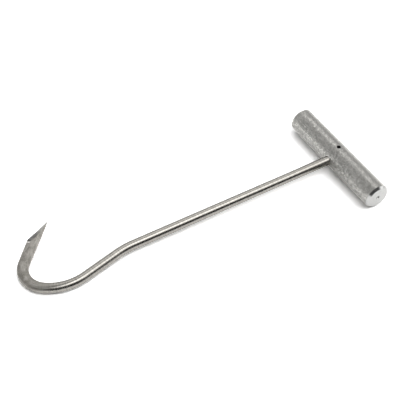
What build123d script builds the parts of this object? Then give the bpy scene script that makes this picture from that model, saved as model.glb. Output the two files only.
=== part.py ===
from build123d import *

import os
from math import asin, atan2, cos, degrees, radians, sin, tan

# A T-handled hand hook: a knurled aluminium bar across the end of a bent steel rod.
# It is drawn flat first: the handle along Y through the origin, the rod leaving it along -X,
# the hook curling towards +Y, all in the plane z = 0. The whole tool is then turned about the
# handle until the hook touches the table that the handle lies on.

# Handle: one inch knurled bar, with turned ends.
HANDLE_RADIUS = 12.7
HANDLE_LENGTH = 130.0
END_CHAMFER = 2.2
CENTRE_CONE_RADIUS = 1.9
CENTRE_CONE_ANGLE = 60.0
CENTRE_PILOT_RADIUS = 1.25
CENTRE_PILOT_DEPTH = 4.2
CONE_TIP_RADIUS = 0.01

# Rod: three-eighths inch bar, held in a blind hole across the handle.
ROD_RADIUS = 4.7625
BORE_CLEARANCE = 0.04
BORE_END_X = 6.5
ROD_END_GAP = 0.3
ROD_END_CHAMFER = 0.8

# Centreline of the rod, from the handle's axis outwards.
SHANK_LENGTH = 226.0
BEND_RADIUS = 67.0
BEND_TURN = 14.0
OFFSET_LENGTH = 37.0
BOW_RADIUS = 44.0
BOW_TURN = 50.5
CURL_RADIUS = 23.5
CURL_TURN = 93.0
ARM_LENGTH = 51.0

# The hook is hammered flat towards its point: width in the hook's plane, thickness across it.
ARM_WIDTH = 11.0
POINT_WIDTH = 11.5
ARM_THICKNESS = 7.6
BOW_SECTIONS = 4
CURL_SECTIONS = 6

# The point is ground from the outer side by two curved bevels that meet in a sharp edge.
SHOULDER_FROM_TIP = 26.5
BEVEL_EDGE_RADIUS = 60.0
BEVEL_ANGLE = 40.0
BEVEL_DEPTH = 12.0
BEVEL_START_SLOPE = 45.0

# Set screw, M4 by 5 mm, standing on the rod well below the mouth of its tapped hole.
SCREW_RADIUS = 2.0
SCREW_LENGTH = 5.0
SCREW_CLEARANCE = 0.02
SCREW_CHAMFER = 0.3
SOCKET_ACROSS_FLATS = 2.0
SOCKET_DEPTH = 2.5
CUP_RADIUS = 1.2
CUP_BOTTOM_RADIUS = 0.1
MOUTH_CHAMFER = 0.3

# The tool is turned about its handle this many times, each closer to lying level.
LEVELLING_STEPS = 4


def straight(start, heading, length):
    """A straight run that leaves start at a heading in degrees."""
    angle = radians(heading)
    return Line(start, start + Vector(cos(angle), sin(angle)) * length)


def turn(start, heading, radius, angle):
    """A tangent arc; a positive angle turns left."""
    direction = (cos(radians(heading)), sin(radians(heading)))
    return JernArc(start=start, tangent=direction, radius=radius, arc_size=angle)


def section_plane(edge, along):
    """The plane square to an edge, with its x axis in the hook's plane."""
    tangent = edge % along
    return Plane(origin=edge @ along, x_dir=tangent.cross(Vector(0, 0, 1)), z_dir=tangent)


def flattened(edge, along, share):
    """The section at a place on an edge, between the round rod (0) and the hammered arm (1)."""
    ease = share * share * (3 - 2 * share)
    half_width = ROD_RADIUS + (ARM_WIDTH / 2 - ROD_RADIUS) * ease
    half_thickness = ROD_RADIUS + (ARM_THICKNESS / 2 - ROD_RADIUS) * ease
    return section_plane(edge, along) * Ellipse(half_width, half_thickness)


def centreline():
    """The rod's centreline as six edges, from inside the handle to the tip of the arm."""
    shank = straight(Vector(BORE_END_X - ROD_END_GAP, 0), 180, SHANK_LENGTH + BORE_END_X - ROD_END_GAP)
    bend = turn(shank @ 1, 180, BEND_RADIUS, BEND_TURN)
    offset = straight(bend @ 1, 180 + BEND_TURN, OFFSET_LENGTH)
    bow = turn(offset @ 1, 180 + BEND_TURN, BOW_RADIUS, -BOW_TURN)
    curl = turn(bow @ 1, 180 + BEND_TURN - BOW_TURN, CURL_RADIUS, -CURL_TURN)
    arm = straight(curl @ 1, 180 + BEND_TURN - BOW_TURN - CURL_TURN, ARM_LENGTH)
    return shank, bend, offset, bow, curl, arm


def bevel_lens(tip, shoulder):
    """The solid of revolution whose rim is the ground edge, from the shoulder to the tip."""
    chord = tip - shoulder
    half_angle = asin(chord.length / 2 / BEVEL_EDGE_RADIUS)
    towards_centre = chord.normalized().cross(Vector(0, 0, 1))
    centre = (shoulder + tip) * 0.5 + towards_centre * (BEVEL_EDGE_RADIUS * cos(half_angle))
    inner_radius = BEVEL_EDGE_RADIUS - BEVEL_DEPTH
    rise = BEVEL_DEPTH * tan(radians(BEVEL_ANGLE))
    outline = Polyline(
        (0, 0, -rise),
        (inner_radius, 0, -rise),
        (BEVEL_EDGE_RADIUS, 0, 0),
        (inner_radius, 0, rise),
        (0, 0, rise),
        close=True,
    )
    return Pos(centre.X, centre.Y, 0) * revolve(make_face(outline), Axis.Z)


def unground(arm, shoulder):
    """The space behind the shoulder, which ends in a slope down to each bevel."""
    run = BEVEL_DEPTH / tan(radians(BEVEL_START_SLOPE))
    outline = Polyline(
        (-ARM_LENGTH, -BEVEL_DEPTH),
        (-run, -BEVEL_DEPTH),
        (0, 0),
        (-run, BEVEL_DEPTH),
        (-ARM_LENGTH, BEVEL_DEPTH),
        close=True,
    )
    across = Plane(origin=shoulder, x_dir=arm % 1, z_dir=(arm % 1).cross(Vector(0, 0, 1)))
    return extrude(across * make_face(outline), POINT_WIDTH, both=True)


def hook_rod():
    """The bent rod: a round shank, a hammered bow and curl, and a ground point."""
    shank, bend, offset, bow, curl, arm = centreline()
    round_path = Wire([shank, bend, offset])
    round_part = sweep(section_plane(shank, 0) * Circle(ROD_RADIUS), path=round_path)
    round_part = chamfer(round_part.edges().sort_by(Axis.X)[-1], ROD_END_CHAMFER)

    sections = []
    for step in range(BOW_SECTIONS + 1):
        along = step / BOW_SECTIONS
        sections.append(flattened(bow, along, along / 2))
    for step in range(1, CURL_SECTIONS + 1):
        along = step / CURL_SECTIONS
        sections.append(flattened(curl, along, 0.5 + along / 2))
    bow_part = loft(sections)

    arm_start = flattened(arm, 0, 1)
    arm_end = section_plane(arm, 1) * Ellipse(POINT_WIDTH / 2, ARM_THICKNESS / 2)
    heading = arm % 1
    inward = heading.cross(Vector(0, 0, 1)) * (POINT_WIDTH / 2)
    tip = arm @ 1 + inward
    shoulder = arm @ 1 - heading * SHOULDER_FROM_TIP - inward
    arm_part = loft([arm_start, arm_end]) & (bevel_lens(tip, shoulder) + unground(arm, shoulder))
    return round_part + bow_part + arm_part


def rod_bore():
    """The blind hole across the handle, open towards -X."""
    length = BORE_END_X + 2 * HANDLE_RADIUS
    bore = Cylinder(ROD_RADIUS + BORE_CLEARANCE, length, align=(Align.CENTER, Align.CENTER, Align.MAX))
    return Pos(BORE_END_X, 0, 0) * Rot(0, 90, 0) * bore


def centre_hole():
    """A centre-drilled hole whose mouth is in the plane z = 0 and which runs down -Z."""
    cone_depth = CENTRE_CONE_RADIUS / tan(radians(CENTRE_CONE_ANGLE / 2))
    down = (Align.CENTER, Align.CENTER, Align.MAX)
    cone = Cone(CONE_TIP_RADIUS, CENTRE_CONE_RADIUS, cone_depth, align=down)
    return cone + Cylinder(CENTRE_PILOT_RADIUS, CENTRE_PILOT_DEPTH, align=down)


def handle():
    """The handle bar, with its cross hole, tapped hole and centre holes."""
    bar = Rot(90, 0, 0) * Cylinder(HANDLE_RADIUS, HANDLE_LENGTH)
    bar = chamfer(bar.edges().filter_by(GeomType.CIRCLE), END_CHAMFER)
    bar -= rod_bore()
    for end in (1, -1):
        bar -= Pos(0, end * HANDLE_LENGTH / 2, 0) * Rot(-90 * end, 0, 0) * centre_hole()
    up = (Align.CENTER, Align.CENTER, Align.MIN)
    tapped = Cylinder(SCREW_RADIUS + SCREW_CLEARANCE, 2 * HANDLE_RADIUS, align=up)
    mouth = Cone(SCREW_RADIUS, SCREW_RADIUS + 2 * MOUTH_CHAMFER, 2 * MOUTH_CHAMFER)
    return bar - tapped - Pos(0, 0, HANDLE_RADIUS) * mouth


def set_screw():
    """A socket set screw with a cup point that stands on the rod."""
    up = (Align.CENTER, Align.CENTER, Align.MIN)
    screw = Cylinder(SCREW_RADIUS, SCREW_LENGTH, align=up)
    screw = chamfer(screw.edges().filter_by(GeomType.CIRCLE), SCREW_CHAMFER)
    socket = extrude(RegularPolygon(SOCKET_ACROSS_FLATS / 2, 6, major_radius=False), SOCKET_DEPTH)
    screw -= Pos(0, 0, SCREW_LENGTH - SOCKET_DEPTH) * socket
    screw -= Cone(CUP_RADIUS, CUP_BOTTOM_RADIUS, CUP_RADIUS - CUP_BOTTOM_RADIUS, align=up)
    return Pos(0, 0, ROD_RADIUS + SCREW_CLEARANCE) * screw


def lay_down(parts):
    """Turn the tool about its handle until the hook's underside is level with the handle's."""
    angle = 0.0
    for _ in range(LEVELLING_STEPS):
        turned = Rot(0, -angle, 0) * parts["hook_rod"]
        box = turned.bounding_box()
        angle += degrees(atan2(HANDLE_RADIUS + box.min.Z, -box.min.X))
    placed = {}
    for name, part in parts.items():
        placed[name] = Rot(0, -angle, 0) * part
    whole = Compound(list(placed.values())).bounding_box()
    shift = Pos(-whole.center().X, -whole.center().Y, -whole.min.Z)
    return {name: shift * part for name, part in placed.items()}


def main():
    os.makedirs("parts", exist_ok=True)
    parts = {"handle": handle(), "hook_rod": hook_rod(), "set_screw": set_screw()}
    for name, part in lay_down(parts).items():
        part.label = name
        export_step(part, f"parts/{name}.step")
        box = part.bounding_box()
        print(name, round(part.volume, 1), box.min, box.max)


main()
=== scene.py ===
from math import atan2, ceil, cos, pi, radians, sin, tan

import bmesh
import bpy
import numpy as np
from mathutils import Matrix, Vector


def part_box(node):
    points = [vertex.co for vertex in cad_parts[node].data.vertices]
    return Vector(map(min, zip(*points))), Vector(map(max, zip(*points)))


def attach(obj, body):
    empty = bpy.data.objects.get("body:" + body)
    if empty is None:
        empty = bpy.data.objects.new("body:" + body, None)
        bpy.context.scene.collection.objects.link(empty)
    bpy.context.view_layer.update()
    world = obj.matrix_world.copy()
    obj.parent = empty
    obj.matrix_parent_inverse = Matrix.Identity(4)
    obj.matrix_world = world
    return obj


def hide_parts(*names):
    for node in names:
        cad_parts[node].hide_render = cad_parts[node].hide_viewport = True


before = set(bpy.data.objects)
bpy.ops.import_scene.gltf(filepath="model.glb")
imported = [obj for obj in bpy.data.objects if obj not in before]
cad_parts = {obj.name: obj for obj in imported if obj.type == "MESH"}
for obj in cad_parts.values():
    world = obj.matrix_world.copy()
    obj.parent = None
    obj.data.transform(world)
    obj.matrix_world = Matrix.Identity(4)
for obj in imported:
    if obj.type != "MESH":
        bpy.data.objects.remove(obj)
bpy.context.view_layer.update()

# A T-handled hand hook lying on a pale table: a knurled aluminium bar across the end of a bent
# steel rod, whose hook is hammered flat and ground to a point. All lengths are in metres.

HANDLE_LOW, HANDLE_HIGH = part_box("handle")
SCREW_LOW, SCREW_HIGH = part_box("set_screw")

# The handle's place and size come from its part in model.glb.
HANDLE_RADIUS = (HANDLE_HIGH.z - HANDLE_LOW.z) / 2
HANDLE_LENGTH = HANDLE_HIGH.y - HANDLE_LOW.y
AXIS_X = (HANDLE_LOW.x + HANDLE_HIGH.x) / 2
AXIS_Y = (HANDLE_LOW.y + HANDLE_HIGH.y) / 2
AXIS_Z = (HANDLE_LOW.z + HANDLE_HIGH.z) / 2
END_CHAMFER = 0.0022
CENTRE_CONE_RADIUS = 0.0019
CENTRE_CONE_ANGLE = radians(60)
CENTRE_PILOT_RADIUS = 0.00125
CENTRE_PILOT_DEPTH = 0.0042
SCREW_HOLE_RADIUS = 0.00202
MOUTH_CHAMFER = 0.0003

# Diamond knurl: grooves of two hands with sharp roots, and crests that are flat on top. KNURL_CREST is
# how much of the way to the next groove a crest stays flat.
KNURL_GROOVES = 60
KNURL_DEPTH = 0.00028
KNURL_HELIX = radians(30)
KNURL_CREST = 0.60

# The rod and its centreline, from inside the handle outwards.
ROD_RADIUS = 0.0047625
BORE_RADIUS = 0.0048025
BORE_END = 0.0065
ROD_END = 0.0062
ROD_END_CHAMFER = 0.0008
SHANK_LENGTH = 0.226
BEND_RADIUS = 0.067
BEND_TURN = radians(14)
OFFSET_LENGTH = 0.037
BOW_RADIUS = 0.044
BOW_TURN = radians(50.5)
CURL_RADIUS = 0.0235
CURL_TURN = radians(93)
ARM_LENGTH = 0.0505
STATION_SPACING = 0.0012
AROUND = 96
LEVELLING_STEPS = 4

# The hammered part of the hook: widths in its plane, thickness across it.
ARM_WIDTH = 0.0106
POINT_WIDTH = 0.0115
ARM_THICKNESS = 0.0073
ROUND_POWER = 2.0
FLAT_POWER = 2.35

# The ground point: a flat facet runs up the outer side of the arm and leaves a land below it, then
# the edge rounds a shoulder, where the bevels are steepest, and runs straight to the tip.
SHOULDER_FROM_TIP = 0.0270
SHOULDER_RADIUS = 0.016
FACET_LENGTH = 0.017
FACET_RUN = 0.006
FACET_LAND = 0.0015
FACET_SLOPE = radians(24)
SHOULDER_SLOPE = radians(28)
BEVEL_SLOPE = radians(30)
BEVEL_EASES_IN = 0.012
BEVEL_DEPTH = 0.014
CLEAR_OF_ARM = 0.0045
TIP_INSET = 0.0005
TURN_STEPS = 20

# The solid that the point is cut to: its columns along the arm, the shoulder and the edge, its rows
# from the edge inwards, which crowd towards the edge, and how far it runs on past the arm and the tip.
ARM_COLUMNS = 50
SHOULDER_COLUMNS = 30
EDGE_COLUMNS = 70
POINT_ROWS = 28
ROW_CROWDING = 1.3
POINT_HALF_HEIGHT = 0.010
PAST_ARM = 0.002
PAST_TIP = 0.003

# The block that is ground away, about the arm's end: across it and through it.
BLOCK_ACROSS = (-0.0085, 0.0075)
BLOCK_THROUGH = (-0.0065, 0.0065)
BLOCK_MARGIN = 0.001

# Smooth shading stops at edges sharper than these.
ROD_SHARP = radians(15)
HANDLE_SHARP = radians(25)

# Camera: its direction and distance from the point on the table that it looks at.
CAMERA_AZIMUTH = radians(-29.24)
CAMERA_ELEVATION = radians(46.5)
CAMERA_DISTANCE = 0.793
CAMERA_TARGET = Vector((AXIS_X - 0.1424, AXIS_Y + 0.0249, 0.0))
CAMERA_LENS = 74.1
SENSOR = 36.0
CLIP_NEAR = 0.01
CLIP_FAR = 100

# Along the rod from the handle's axis, its ground finish turns to a belt-sanded satin one.
SATIN_FROM = 0.302
SATIN_TO = 0.332
# Fine sanding makes the satin steel scatter light like a matt surface, so this much of it is metal.
SATIN_METAL = 0.62
# Where the grinding wheel first bit, along the rod from the handle's axis, and how far past it the
# painted glint (a bright lip painted on), the painted shade (a dark patch painted on) and the clean bevel
# fade in.
WHEEL_BITES = 0.3770
PAINTED_GLINT_FADES_IN = (0.0, 0.0010)
PAINTED_SHADE_FADES_IN = (0.0012, 0.0028)
CLEAN_FADES_IN = (0.0095, 0.0190)
RAGGED = 0.0012

# Light: the sky's level on the camera's side and behind, the table, and the softboxes: where each one
# is, the half angles in degrees at which it starts to fade and ends, and its strength.
TABLE_SIZE = 40.0
TABLE_DROP = 0.00005
DARK_SIDE = 0.12
PALE_WALL = 0.86
TABLE_WHITE = 1.6
SOFTBOXES = (
    ((0.37, -0.28, 0.885), 8, 28, 2.9),
    ((0.10, -0.31, 0.945), 5, 22, 1.7),
    ((-0.17, -0.32, 0.93), 5, 20, 1.9),
    ((0.29, 0.55, 0.78), 4, 21, 1.3),
    ((0.80, -0.50, 0.33), 8, 22, 1.9),
)


# ---------------------------------------------------------------- meshes

def smooth(share):
    """Eases from 0 to 1."""
    share = min(max(share, 0.0), 1.0)
    return share * share * (3 - 2 * share)


def mesh_from(name, vertices, faces, material=None):
    """A new object from vertices and faces, with its normals outwards."""
    mesh = bpy.data.meshes.new(name)
    mesh.from_pydata(vertices, [], faces)
    work = bmesh.new()
    work.from_mesh(mesh)
    bmesh.ops.remove_doubles(work, verts=work.verts, dist=1e-7)
    bmesh.ops.recalc_face_normals(work, faces=work.faces)
    work.to_mesh(mesh)
    work.free()
    if material:
        mesh.materials.append(material)
    piece = bpy.data.objects.new(name, mesh)
    bpy.context.scene.collection.objects.link(piece)
    return piece


def shade(piece, sharp_angle):
    """Smooth shading, with edges sharper than the angle left sharp."""
    work = bmesh.new()
    work.from_mesh(piece.data)
    for face in work.faces:
        face.smooth = True
    for edge in work.edges:
        edge.smooth = len(edge.link_faces) == 2 and edge.calc_face_angle() < sharp_angle
    work.to_mesh(piece.data)
    work.free()


def boolean(piece, cutter, operation):
    """Applies an exact boolean with a cutter, whose faces keep their own material, and removes it."""
    modifier = piece.modifiers.new("cut", "BOOLEAN")
    modifier.operation = operation
    modifier.solver = "EXACT"
    modifier.material_mode = "TRANSFER"
    modifier.object = cutter
    depsgraph = bpy.context.evaluated_depsgraph_get()
    result = bpy.data.meshes.new_from_object(piece.evaluated_get(depsgraph))
    piece.modifiers.remove(modifier)
    old = piece.data
    piece.data = result
    bpy.data.meshes.remove(old)
    bpy.data.objects.remove(cutter)


def spun(name, outline, segments, matrix, material=None):
    """A closed solid turned about local Z, from (radius, height) points whose ends lie on the axis."""
    vertices = [Vector((0, 0, outline[0][1]))]
    for radius, height in outline[1:-1]:
        for step in range(segments):
            angle = 2 * pi * step / segments
            vertices.append(Vector((radius * cos(angle), radius * sin(angle), height)))
    vertices.append(Vector((0, 0, outline[-1][1])))
    last = len(vertices) - 1
    rings = len(outline) - 2
    faces = []
    for step in range(segments):
        after = (step + 1) % segments
        faces.append((0, 1 + after, 1 + step))
        for ring in range(rings - 1):
            low = 1 + ring * segments
            high = low + segments
            faces.append((low + step, low + after, high + after, high + step))
        top = 1 + (rings - 1) * segments
        faces.append((last, top + step, top + after))
    return mesh_from(name, [matrix @ v for v in vertices], faces, material)


# ---------------------------------------------------------------- materials

class Shading:
    """A material's node tree, with short ways to add nodes."""

    def __init__(self, name):
        self.material = bpy.data.materials.new(name)
        self.material.use_nodes = True
        self.tree = self.material.node_tree
        self.shader = self.tree.nodes["Principled BSDF"]

    def add(self, kind, inputs=(), output=0, **settings):
        """Adds a node; inputs are (socket, value or output socket) pairs. Returns one of its outputs."""
        made = self.tree.nodes.new(kind)
        for name, value in settings.items():
            setattr(made, name, value)
        for socket, value in inputs:
            self.put(made.inputs[socket], value)
        return made.outputs[output]

    def put(self, socket, value):
        if isinstance(value, bpy.types.NodeSocket):
            self.tree.links.new(value, socket)
        else:
            socket.default_value = value

    def math(self, operation, *values):
        return self.add("ShaderNodeMath", list(enumerate(values)), operation=operation)

    def split(self, vector):
        parts = self.tree.nodes.new("ShaderNodeSeparateXYZ")
        self.put(parts.inputs[0], vector)
        return parts.outputs[0], parts.outputs[1], parts.outputs[2]

    def join(self, x, y, z):
        return self.add("ShaderNodeCombineXYZ", [(0, x), (1, y), (2, z)])

    def spread(self, value, low, high, out_low=0.0, out_high=1.0, kind="SMOOTHSTEP"):
        """Maps low..high onto out_low..out_high, easing in and out unless kind says otherwise."""
        pairs = [(0, value), (1, low), (2, high), (3, out_low), (4, out_high)]
        return self.add("ShaderNodeMapRange", pairs, interpolation_type=kind)

    def noise(self, vector, scale=1.0, detail=3.0, rough=0.5):
        pairs = [("Vector", vector), ("Scale", scale), ("Detail", detail), ("Roughness", rough)]
        return self.add("ShaderNodeTexNoise", pairs)

    def stretch(self, vector, x, y, z, turned=(0, 0, 0)):
        pairs = [("Vector", vector), ("Rotation", turned), ("Scale", (x, y, z))]
        return self.add("ShaderNodeMapping", pairs)

    def mix(self, share, first, second):
        pairs = [("Factor", share), (6, first), (7, second)]
        return self.add("ShaderNodeMix", pairs, output=2, data_type="RGBA")

    def tint(self, colour, share):
        """A colour multiplied by a grey value that varies over the surface."""
        grey = self.add("ShaderNodeCombineColor", [(0, share), (1, share), (2, share)])
        pairs = [("Factor", 1.0), (6, colour), (7, grey)]
        return self.add("ShaderNodeMix", pairs, output=2, data_type="RGBA", blend_type="MULTIPLY")

    def bump(self, height, distance, strength=1.0, normal=None):
        pairs = [("Strength", strength), ("Distance", distance), ("Height", height)]
        if normal:
            pairs.append(("Normal", normal))
        return self.add("ShaderNodeBump", pairs)

    def done(self, **inputs):
        """Sets the shader's sockets and returns the material, which is bare metal unless inputs say less."""
        self.shader.inputs["Metallic"].default_value = 1.0
        for name, value in inputs.items():
            self.put(self.shader.inputs[name.replace("_", " ")], value)
        return self.material

    def handle_place(self):
        """Across, along and up from the middle of the handle, and the distance from its axis."""
        place = self.add("ShaderNodeTexCoord", output=3)
        x, y, z = self.split(place)
        x = self.math("SUBTRACT", x, AXIS_X)
        y = self.math("SUBTRACT", y, AXIS_Y)
        z = self.math("SUBTRACT", z, AXIS_Z)
        squares = self.math("ADD", self.math("MULTIPLY", x, x), self.math("MULTIPLY", z, z))
        return self.join(x, y, z), self.math("SQRT", squares)


def knurled_aluminium():
    """Rolled knurl: grooves painted dark, partly dirt and partly painted shade, and crests that hands have
    polished unevenly.
    """
    s = Shading("knurled_aluminium")
    place, radius = s.handle_place()
    height = s.spread(radius, HANDLE_RADIUS - KNURL_DEPTH, HANDLE_RADIUS, kind="LINEAR")
    wear = s.noise(s.stretch(place, 420, 330, 420), detail=4, rough=0.65)
    grain = s.noise(place, 2600, 2)
    # Darker the deeper below the crests: partly dirt, partly painted shade in the grooves.
    colour = s.mix(height, (0.13, 0.13, 0.127, 1), (0.60, 0.59, 0.562, 1))
    share = s.math("ADD", s.spread(wear, 0.3, 0.7, 0.78, 1.12), s.spread(grain, 0.2, 0.8, -0.07, 0.07))
    rough = s.math("ADD", s.spread(height, 0.5, 1.0, 0.50, 0.26), s.spread(wear, 0.3, 0.7, 0.08, -0.06))
    return s.done(Base_Color=s.tint(colour, share), Roughness=rough, Normal=s.bump(grain, 0.00002, 0.6))


def turned_aluminium():
    """Faced and chamfered in the lathe: fine rings about the handle's axis, with a few handling marks."""
    s = Shading("turned_aluminium")
    place, radius = s.handle_place()
    rings = s.noise(s.join(s.math("MULTIPLY", radius, 5200.0), 0.0, 0.0), detail=2)
    slow = s.noise(s.join(s.math("MULTIPLY", radius, 900.0), 7.0, 0.0), detail=2)
    marks = s.noise(place, 420, 5, 0.65)
    colour = s.mix(slow, (0.37, 0.37, 0.363, 1), (0.45, 0.45, 0.441, 1))
    share = s.math("ADD", s.spread(rings, 0.3, 0.7, 0.88, 1.04), s.spread(marks, 0.55, 0.8, 0.0, -0.22))
    rough = s.math("ADD", s.spread(rings, 0.3, 0.7, 0.15, 0.24), s.spread(marks, 0.5, 0.8, 0.0, 0.15))
    normal = s.bump(rings, 0.000008, 0.6)
    normal = s.bump(marks, 0.00002, 0.3, normal)
    return s.done(Base_Color=s.tint(colour, share), Roughness=rough, Normal=normal)


def drilled_aluminium():
    """Inside the drilled holes: rough, dull, painted dark for the shade in the holes, with drill rings."""
    s = Shading("drilled_aluminium")
    place, radius = s.handle_place()
    rings = s.noise(s.stretch(place, 4000, 300, 4000), detail=2)
    share = s.spread(rings, 0.3, 0.7, 0.7, 1.0)
    # Painted shade: a dark colour for the shade inside the holes.
    colour = s.tint((0.14, 0.14, 0.135, 1), share)
    rough = s.spread(rings, 0.3, 0.7, 0.4, 0.6)
    return s.done(Base_Color=colour, Roughness=rough, Normal=s.bump(rings, 0.00003, 0.6))


def rod_place(s):
    """Where a point is on the straightened rod: along, across and through it; and along it alone."""
    place = s.add("ShaderNodeAttribute", output=1, attribute_name="straightened")
    return place, s.split(place)[0]


def rod_steel():
    """Ground bar: bright with fine rings on the shank, satin with crossed belt marks on the hook."""
    s = Shading("rod_steel")
    place, along = rod_place(s)
    satin = s.spread(along, SATIN_FROM, SATIN_TO)
    rings = s.noise(s.stretch(place, 1150, 25, 25), detail=3, rough=0.7)
    broad = s.noise(s.stretch(place, 420, 40, 40), detail=3, rough=0.6)
    stains = s.noise(s.stretch(place, 130, 190, 190), detail=4, rough=0.65)
    one_way = s.noise(s.stretch(place, 190, 3800, 3800, (0, 0, radians(35))), detail=2, rough=0.6)
    other_way = s.noise(s.stretch(place, 190, 3800, 3800, (0, 0, radians(-50))), detail=2, rough=0.6)
    crossed = s.math("MAXIMUM", one_way, other_way)
    ground = s.mix(stains, (0.262, 0.251, 0.229, 1), (0.305, 0.294, 0.272, 1))
    sanded = s.mix(s.spread(stains, 0.32, 0.68), (0.235, 0.222, 0.198, 1), (0.40, 0.383, 0.350, 1))
    colour = s.mix(satin, ground, sanded)
    ring_share = s.spread(rings, 0.36, 0.64, 0.74, 1.10)
    cross_share = s.spread(crossed, 0.45, 0.75, 0.68, 1.16)
    blend = s.add("ShaderNodeMix", [("Factor", satin), (2, ring_share), (3, cross_share)])
    ring_rough = s.math("ADD", s.spread(broad, 0.3, 0.7, 0.17, 0.25), s.spread(stains, 0.5, 0.8, 0.0, 0.08))
    stain_rough = s.spread(stains, 0.4, 0.7, 0.0, 0.06)
    cross_rough = s.math("ADD", s.spread(crossed, 0.4, 0.8, 0.56, 0.42), stain_rough)
    rough = s.add("ShaderNodeMix", [("Factor", satin), (2, ring_rough), (3, cross_rough)])
    height = s.add("ShaderNodeMix", [("Factor", satin), (2, s.math("ADD", rings, broad)), (3, crossed)])
    normal = s.bump(height, 0.000020, 0.7)
    metal = s.spread(satin, 0.0, 1.0, 1.0, SATIN_METAL)
    return s.done(Base_Color=s.tint(colour, blend), Roughness=rough, Metallic=metal, Normal=normal)


def ground_steel():
    """The ground facets: satin up the arm, a painted glint, painted shade at the shoulder, grey to the tip.
    """
    s = Shading("ground_steel")
    place, along = rod_place(s)
    marks = s.noise(s.stretch(place, 3400, 260, 260, (0, 0, radians(25))), detail=3, rough=0.65)
    patches = s.noise(s.stretch(place, 420, 300, 300), detail=4, rough=0.65)
    ragged = s.math("ADD", along, s.spread(patches, 0.3, 0.7, -RAGGED, RAGGED))
    painted_glint, painted_shade, clean = [
        s.spread(ragged, WHEEL_BITES + start, WHEEL_BITES + end)
        for start, end in (PAINTED_GLINT_FADES_IN, PAINTED_SHADE_FADES_IN, CLEAN_FADES_IN)
    ]
    satin = s.mix(patches, (0.255, 0.243, 0.221, 1), (0.33, 0.317, 0.292, 1))
    # Painted glint: a bright, nearly white colour where the wheel first bit.
    with_painted_glint = s.mix(painted_glint, satin, (0.95, 0.93, 0.88, 1))
    # Painted shade: a near-black colour on the steep facet at the shoulder, where the facet's angle gives
    # dark reflections.
    dark = s.mix(patches, (0.022, 0.020, 0.017, 1), (0.10, 0.094, 0.083, 1))
    bright = s.mix(patches, (0.235, 0.226, 0.208, 1), (0.31, 0.299, 0.278, 1))
    colour = s.mix(clean, s.mix(painted_shade, with_painted_glint, dark), bright)
    share = s.spread(marks, 0.3, 0.7, 0.82, 1.1)
    rough = s.spread(marks, 0.3, 0.7, 0.34, 0.50)
    normal = s.bump(marks, 0.000018, 0.8)
    return s.done(Base_Color=s.tint(colour, share), Roughness=rough, Metallic=SATIN_METAL, Normal=normal)


def screw_steel():
    """The set screw's steel, painted dark for the shade down in its hole."""
    s = Shading("screw_steel")
    place, radius = s.handle_place()
    marks = s.noise(place, 1500, 4, 0.6)
    share = s.spread(marks, 0.3, 0.7, 0.85, 1.05)
    # Painted shade: a dark colour for the shade down in the hole.
    colour = s.tint((0.16, 0.155, 0.15, 1), share)
    rough = s.spread(marks, 0.3, 0.7, 0.22, 0.34)
    return s.done(Base_Color=colour, Roughness=rough, Normal=s.bump(marks, 0.00002, 0.4))


# ---------------------------------------------------------------- the rod

def runs():
    """The centreline's runs: length, curvature, and the share flattened at each end."""
    return (
        (ROD_END + SHANK_LENGTH, 0.0, 0.0, 0.0),
        (BEND_RADIUS * BEND_TURN, 1 / BEND_RADIUS, 0.0, 0.0),
        (OFFSET_LENGTH, 0.0, 0.0, 0.0),
        (BOW_RADIUS * BOW_TURN, -1 / BOW_RADIUS, 0.0, 0.5),
        (CURL_RADIUS * CURL_TURN, -1 / CURL_RADIUS, 0.5, 1.0),
        (ARM_LENGTH, 0.0, 1.0, 1.0),
    )


def moved_along(place, heading, curve, length):
    """The point a length further on, along a straight run or an arc."""
    if not curve:
        return place + Vector((cos(heading), sin(heading), 0)) * length
    turned = heading + curve * length
    return place + Vector((sin(turned) - sin(heading), cos(heading) - cos(turned), 0)) / curve


def centreline():
    """Stations along the rod: distance from the handle's axis, position, heading, share flattened."""
    stations = []
    place = Vector((ROD_END, 0.0, 0.0))
    heading = pi
    gone = -ROD_END
    for length, curve, share_in, share_out in runs():
        steps = ceil(length / STATION_SPACING)
        for step in range(steps):
            part = step / steps
            share = share_in + (share_out - share_in) * part
            point = moved_along(place, heading, curve, length * part)
            stations.append((gone + length * part, point, heading + curve * length * part, share))
        place = moved_along(place, heading, curve, length)
        heading += curve * length
        gone += length
    stations.append((gone, place, heading, 1.0))
    return stations


def section(share, along_arm):
    """Half width, half thickness and squareness of the rod's section."""
    ease = smooth(share)
    width = ARM_WIDTH + (POINT_WIDTH - ARM_WIDTH) * min(max(along_arm, 0.0), 1.0)
    half_width = ROD_RADIUS + (width / 2 - ROD_RADIUS) * ease
    half_thickness = ROD_RADIUS + (ARM_THICKNESS / 2 - ROD_RADIUS) * ease
    return half_width, half_thickness, ROUND_POWER + (FLAT_POWER - ROUND_POWER) * ease


def right_of(heading):
    return Vector((sin(heading), -cos(heading), 0))


def rod_ring(station, arm_start):
    """The points round the rod at a station."""
    gone, place, heading, share = station
    half_width, half_thickness, power = section(share, (gone - arm_start) / ARM_LENGTH)
    trim = max(ROD_END_CHAMFER - (gone + ROD_END), 0.0)
    ring = []
    for step in range(AROUND):
        angle = 2 * pi * step / AROUND
        across = abs(cos(angle)) ** (2 / power) * (1 if cos(angle) > 0 else -1)
        through = abs(sin(angle)) ** (2 / power) * (1 if sin(angle) > 0 else -1)
        side = right_of(heading) * across * (half_width - trim)
        ring.append(place + side + Vector((0, 0, through * (half_thickness - trim))))
    return ring


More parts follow.
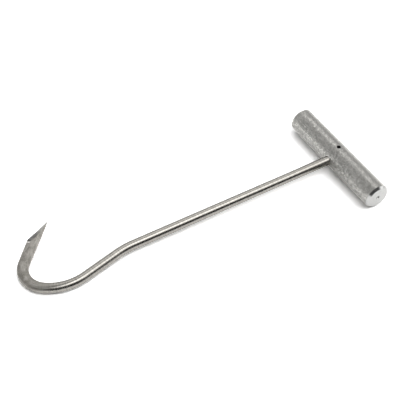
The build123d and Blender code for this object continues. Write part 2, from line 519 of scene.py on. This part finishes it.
def swept_rod(stations, material):
    """The rod before its point is ground, drawn flat about the handle's axis."""
    arm_start = stations[-1][0] - ARM_LENGTH
    vertices = []
    for station in stations:
        vertices += rod_ring(station, arm_start)
    faces = []
    for ring in range(len(stations) - 1):
        low = ring * AROUND
        for step in range(AROUND):
            after = (step + 1) % AROUND
            faces.append((low + step, low + after, low + AROUND + after, low + AROUND + step))
    faces.append(tuple(range(AROUND)))
    faces.append(tuple(range(len(vertices) - AROUND, len(vertices))))
    return mesh_from("hook_rod_shape", vertices, faces, material)


def rim_of_point(arm_end, heading):
    """The outline from well behind the shoulder to past the tip: places, headings, lands and slopes."""
    start = arm_end - Vector((cos(heading), sin(heading), 0)) * SHOULDER_FROM_TIP
    start -= right_of(heading) * (POINT_WIDTH / 2)
    tip = arm_end + right_of(heading) * (POINT_WIDTH / 2 - TIP_INSET)
    chord = tip - start
    along_chord = chord.dot(Vector((cos(heading), sin(heading), 0)))
    across_chord = chord.dot(right_of(heading))
    # The arc leaves the arm's side at a tangent and the straight edge leaves the arc at a tangent.
    turn = 2 * atan2(across_chord, along_chord)
    for _ in range(TURN_STEPS):
        arc_along = SHOULDER_RADIUS * sin(turn)
        arc_across = SHOULDER_RADIUS * (1 - cos(turn))
        turn = atan2(across_chord - arc_across, along_chord - arc_along)
    arc = SHOULDER_RADIUS * turn
    edge = (along_chord - SHOULDER_RADIUS * sin(turn)) / cos(turn)
    columns = []
    for step in range(ARM_COLUMNS):
        back = (ARM_LENGTH - SHOULDER_FROM_TIP + PAST_ARM) * (1 - step / ARM_COLUMNS)
        uncut = smooth((back - FACET_LENGTH + FACET_RUN) / FACET_RUN)
        land = FACET_LAND + (CLEAR_OF_ARM - FACET_LAND) * uncut
        columns.append((moved_along(start, heading, 0, -back), heading, land, FACET_SLOPE))
    for step in range(SHOULDER_COLUMNS):
        part = step / SHOULDER_COLUMNS
        place = moved_along(start, heading, -1 / SHOULDER_RADIUS, arc * part)
        slope = FACET_SLOPE + (SHOULDER_SLOPE - FACET_SLOPE) * smooth(part)
        columns.append((place, heading - turn * part, FACET_LAND * (1 - smooth(part)), slope))
    corner = moved_along(start, heading, -1 / SHOULDER_RADIUS, arc)
    for step in range(EDGE_COLUMNS + 1):
        gone = (edge + PAST_TIP) * step / EDGE_COLUMNS
        slope = SHOULDER_SLOPE + (BEVEL_SLOPE - SHOULDER_SLOPE) * smooth(gone / BEVEL_EASES_IN)
        columns.append((moved_along(corner, heading - turn, 0, gone), heading - turn, 0.0, slope))
    return columns


def point_solid(arm_end, heading, material):
    """What the grinding leaves: the whole arm, then a facet on each face, then two bevels and an edge."""
    rows = POINT_ROWS
    vertices = []
    columns = rim_of_point(arm_end, heading)
    for place, edge_heading, land, slope in columns:
        for side in (1, -1):
            for row in range(rows):
                depth = BEVEL_DEPTH * (row / (rows - 1)) ** ROW_CROWDING
                height = min(land + depth * tan(slope), POINT_HALF_HEIGHT)
                vertices.append(place + right_of(edge_heading) * depth + Vector((0, 0, side * height)))
    faces = []
    span = 2 * rows
    for column in range(len(columns) - 1):
        for row in range(rows - 1):
            for side in (0, 1):
                a = column * span + side * rows + row
                faces.append((a, a + span, a + span + 1, a + 1))
        for row in (0, rows - 1):
            a = column * span + row
            faces.append((a, a + span, a + span + rows, a + rows))
    for column in (0, len(columns) - 1):
        first = column * span
        faces.append((*range(first, first + rows), *range(first + span - 1, first + rows - 1, -1)))
    return mesh_from("point_solid", vertices, faces, material)


def ground_away(arm_end, heading, material):
    """What the grinding takes off: a block about the end of the arm, less the point that is left in it."""
    along = Vector((cos(heading), sin(heading), 0))
    inward = right_of(heading)
    corners = []
    for distance in (-SHOULDER_FROM_TIP - FACET_LENGTH - BLOCK_MARGIN, PAST_ARM):
        for across in BLOCK_ACROSS:
            for up in BLOCK_THROUGH:
                corners.append(arm_end + along * distance + inward * across + Vector((0, 0, up)))
    sides = [(0, 1, 3, 2), (4, 5, 7, 6), (0, 1, 5, 4), (2, 3, 7, 6), (0, 2, 6, 4), (1, 3, 7, 5)]
    block = mesh_from("ground_away", corners, sides, material)
    boolean(block, point_solid(arm_end, heading, material), "DIFFERENCE")
    return block


def lie_down(piece):
    """Turns the flat-drawn rod about the handle's axis until it touches the table, and puts it in place."""
    points = np.array([v.co for v in piece.data.vertices])
    angle = 0.0
    for _ in range(LEVELLING_STEPS):
        lowest = (points[:, 0] * sin(angle) + points[:, 2] * cos(angle)).min()
        furthest = (points[:, 0] * cos(angle) - points[:, 2] * sin(angle)).min()
        angle += atan2(HANDLE_RADIUS + lowest, -furthest)
    piece.data.transform(Matrix.Translation((AXIS_X, AXIS_Y, AXIS_Z)) @ Matrix.Rotation(-angle, 4, "Y"))


def straighten(piece, stations):
    """Writes each point's place on the straightened rod into an attribute for the materials."""
    points = np.array([v.co for v in piece.data.vertices])
    places = np.array([s[1] for s in stations])
    headings = np.array([s[2] for s in stations])
    gone = np.array([s[0] for s in stations])
    nearest = ((points[:, None, :2] - places[None, :, :2]) ** 2).sum(2).argmin(1)
    offset = points - places[nearest]
    heading = headings[nearest]
    along = gone[nearest] + offset[:, 0] * np.cos(heading) + offset[:, 1] * np.sin(heading)
    across = offset[:, 0] * np.sin(heading) - offset[:, 1] * np.cos(heading)
    values = np.stack([along, across, points[:, 2]], 1).astype(np.float32)
    attribute = piece.data.attributes.new("straightened", "FLOAT_VECTOR", "POINT")
    attribute.data.foreach_set("vector", values.ravel())


def hook_rod():
    stations = centreline()
    rod = swept_rod(stations, rod_steel())
    boolean(rod, ground_away(stations[-1][1], stations[-1][2], ground_steel()), "DIFFERENCE")
    straighten(rod, stations)
    lie_down(rod)
    shade(rod, ROD_SHARP)
    rod.name = "bent_hook_rod"
    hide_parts("hook_rod")
    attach(rod, "root")
    return rod


# ---------------------------------------------------------------- the handle

def knurled_bar(material):
    """A bar covered with diamond knurl, a little longer than the handle. Local Z is its axis."""
    columns = 2 * KNURL_GROOVES
    half_pitch = pi * HANDLE_RADIUS / KNURL_GROOVES / tan(KNURL_HELIX)
    rows = 2 * (int(HANDLE_LENGTH / half_pitch) // 2 + 2)
    root = HANDLE_RADIUS - KNURL_DEPTH
    low = -rows / 2 * half_pitch

    def point(column, row, radius):
        angle = 2 * pi * column / columns
        return Vector((radius * cos(angle), radius * sin(angle), low + row * half_pitch))

    vertices = []
    roots = {}
    for row in range(rows + 1):
        for column in range(row % 2, columns, 2):
            roots[column, row] = len(vertices)
            vertices.append(point(column, row, root))
    faces = []
    for row in range(rows + 1):
        for column in range((row + 1) % 2, columns, 2):
            left = roots[(column - 1) % columns, row]
            right = roots[(column + 1) % columns, row]
            if row in (0, rows):
                beyond = roots[column, 1 if row == 0 else rows - 1]
                faces.append((left, right, beyond))
                continue
            under, over = roots[column, row - 1], roots[column, row + 1]
            crest = len(vertices)
            vertices.append(point(column - KNURL_CREST, row, HANDLE_RADIUS))
            vertices.append(point(column, row - KNURL_CREST, HANDLE_RADIUS))
            vertices.append(point(column + KNURL_CREST, row, HANDLE_RADIUS))
            vertices.append(point(column, row + KNURL_CREST, HANDLE_RADIUS))
            faces.append((left, under, crest + 1, crest))
            faces.append((under, right, crest + 2, crest + 1))
            faces.append((right, over, crest + 3, crest + 2))
            faces.append((over, left, crest, crest + 3))
            faces.append((crest, crest + 1, crest + 2, crest + 3))
    for row in (0, rows):
        faces.append(tuple(roots[column, row] for column in range(0, columns, 2)))
    return mesh_from("knurled_bar", [along_y() @ v for v in vertices], faces, material)


def along_y():
    """Puts local Z along the handle's axis."""
    return Matrix.Translation((AXIS_X, AXIS_Y, AXIS_Z)) @ Matrix.Rotation(pi / 2, 4, "X")


def turned_envelope(material):
    """What the lathe leaves: flat ends with centre holes, 45 degree chamfers, and room for the knurl."""
    half = HANDLE_LENGTH / 2
    room = HANDLE_RADIUS + 0.001
    cone_end = half - (CENTRE_CONE_RADIUS - CENTRE_PILOT_RADIUS) / tan(CENTRE_CONE_ANGLE / 2)
    end = [
        (0, half - CENTRE_PILOT_DEPTH),
        (CENTRE_PILOT_RADIUS, half - CENTRE_PILOT_DEPTH),
        (CENTRE_PILOT_RADIUS, cone_end),
        (CENTRE_CONE_RADIUS, half),
        (HANDLE_RADIUS - END_CHAMFER, half),
        (room, half - END_CHAMFER - 0.001),
    ]
    outline = [(radius, -height) for radius, height in end] + end[::-1]
    return spun("turned_envelope", outline, 192, along_y(), material)


def rod_bore(material):
    """The blind cross hole; local Z runs from its open end to its bottom."""
    length = BORE_END + 2 * HANDLE_RADIUS
    outline = [(0, -length), (BORE_RADIUS, -length), (BORE_RADIUS, 0), (0, 0)]
    return spun("rod_bore", outline, 96, bore_frame() @ Matrix.Translation((0, 0, BORE_END)), material)


def bore_frame():
    """Local Z along the rod where it enters the handle, pointing back into the handle."""
    tilt = (SCREW_LOW.x + SCREW_HIGH.x) / 2 - AXIS_X
    lean = atan2(-tilt, (SCREW_LOW.z + SCREW_HIGH.z) / 2 - AXIS_Z)
    return Matrix.Translation((AXIS_X, AXIS_Y, AXIS_Z)) @ Matrix.Rotation(pi / 2 - lean, 4, "Y")


def screw_hole(material):
    """The tapped hole over the rod, with a chamfered mouth."""
    half = HANDLE_RADIUS + 0.002
    outline = [
        (0, 0),
        (SCREW_HOLE_RADIUS, 0),
        (SCREW_HOLE_RADIUS, HANDLE_RADIUS - MOUTH_CHAMFER),
        (SCREW_HOLE_RADIUS + MOUTH_CHAMFER, HANDLE_RADIUS),
        (SCREW_HOLE_RADIUS + MOUTH_CHAMFER, half),
        (0, half),
    ]
    return spun("screw_hole", outline, 72, bore_frame() @ Matrix.Rotation(-pi / 2, 4, "Y"), material)


def handle():
    bar = knurled_bar(knurled_aluminium())
    boolean(bar, turned_envelope(turned_aluminium()), "INTERSECT")
    drilled = drilled_aluminium()
    boolean(bar, rod_bore(drilled), "DIFFERENCE")
    boolean(bar, screw_hole(drilled), "DIFFERENCE")
    shade(bar, HANDLE_SHARP)
    bar.name = "knurled_handle"
    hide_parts("handle")
    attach(bar, "root")
    return bar


# ---------------------------------------------------------------- surroundings

def table():
    """A large matt white table top."""
    size = TABLE_SIZE
    corners = [(-size, -size, 0), (size, -size, 0), (size, size, 0), (-size, size, 0)]
    top = mesh_from("table_top", [Vector(c) for c in corners], [(0, 1, 2, 3)])
    top.location.z = -TABLE_DROP
    material = bpy.data.materials.new("table_white")
    material.use_nodes = True
    tree = material.node_tree
    tree.nodes.clear()
    matt = tree.nodes.new("ShaderNodeBsdfDiffuse")
    matt.inputs["Color"].default_value = (TABLE_WHITE, TABLE_WHITE, TABLE_WHITE, 1)
    out = tree.nodes.new("ShaderNodeOutputMaterial")
    tree.links.new(matt.outputs[0], out.inputs["Surface"])
    top.data.materials.append(material)


def studio():
    """A soft sky: a pale wall behind the tool, softboxes, and darkness on the camera's side."""
    world = bpy.data.worlds.new("studio")
    world.use_nodes = True
    bpy.context.scene.world = world
    tree = world.node_tree
    background = tree.nodes["Background"]

    def add(kind, inputs, output=0, **settings):
        made = tree.nodes.new(kind)
        for name, value in settings.items():
            setattr(made, name, value)
        for socket, value in inputs:
            if isinstance(value, bpy.types.NodeSocket):
                tree.links.new(value, made.inputs[socket])
            else:
                made.inputs[socket].default_value = value
        return made.outputs[output]

    def towards(place):
        """The cosine between the looked-at direction and a place in the sky."""
        pairs = [(0, direction), (1, Vector(place).normalized())]
        return add("ShaderNodeVectorMath", pairs, 1, operation="DOT_PRODUCT")

    def eased(value, low, high, out_low, out_high):
        pairs = [(0, value), (1, low), (2, high), (3, out_low), (4, out_high)]
        return add("ShaderNodeMapRange", pairs, interpolation_type="SMOOTHSTEP")

    direction = add("ShaderNodeTexCoord", [])
    behind = (-sin(CAMERA_AZIMUTH), cos(CAMERA_AZIMUTH), 0)
    light = eased(towards(behind), -0.25, 0.45, DARK_SIDE, PALE_WALL)
    for place, inner, outer, strength in SOFTBOXES:
        box = eased(towards(place), cos(radians(outer)), cos(radians(inner)), 0.0, strength)
        light = add("ShaderNodeMath", [(0, light), (1, box)], operation="ADD")
    tree.links.new(light, background.inputs["Strength"])
    background.inputs["Color"].default_value = (1.0, 1.0, 1.0, 1)


def camera():
    data = bpy.data.cameras.new("camera")
    data.lens = CAMERA_LENS
    data.sensor_width = SENSOR
    data.clip_start = CLIP_NEAR
    data.clip_end = CLIP_FAR
    made = bpy.data.objects.new("camera", data)
    bpy.context.scene.collection.objects.link(made)
    level = cos(CAMERA_ELEVATION)
    back = Vector((sin(CAMERA_AZIMUTH) * level, -cos(CAMERA_AZIMUTH) * level, sin(CAMERA_ELEVATION)))
    made.location = CAMERA_TARGET + back * CAMERA_DISTANCE
    made.rotation_mode = "QUATERNION"
    made.rotation_quaternion = (-back).to_track_quat("-Z", "Y")
    bpy.context.scene.camera = made


handle()
hook_rod()
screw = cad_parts["set_screw"]
screw.data.materials.clear()
screw.data.materials.append(screw_steel())
table()
studio()
camera()
bpy.context.scene.view_settings.view_transform = "Standard"
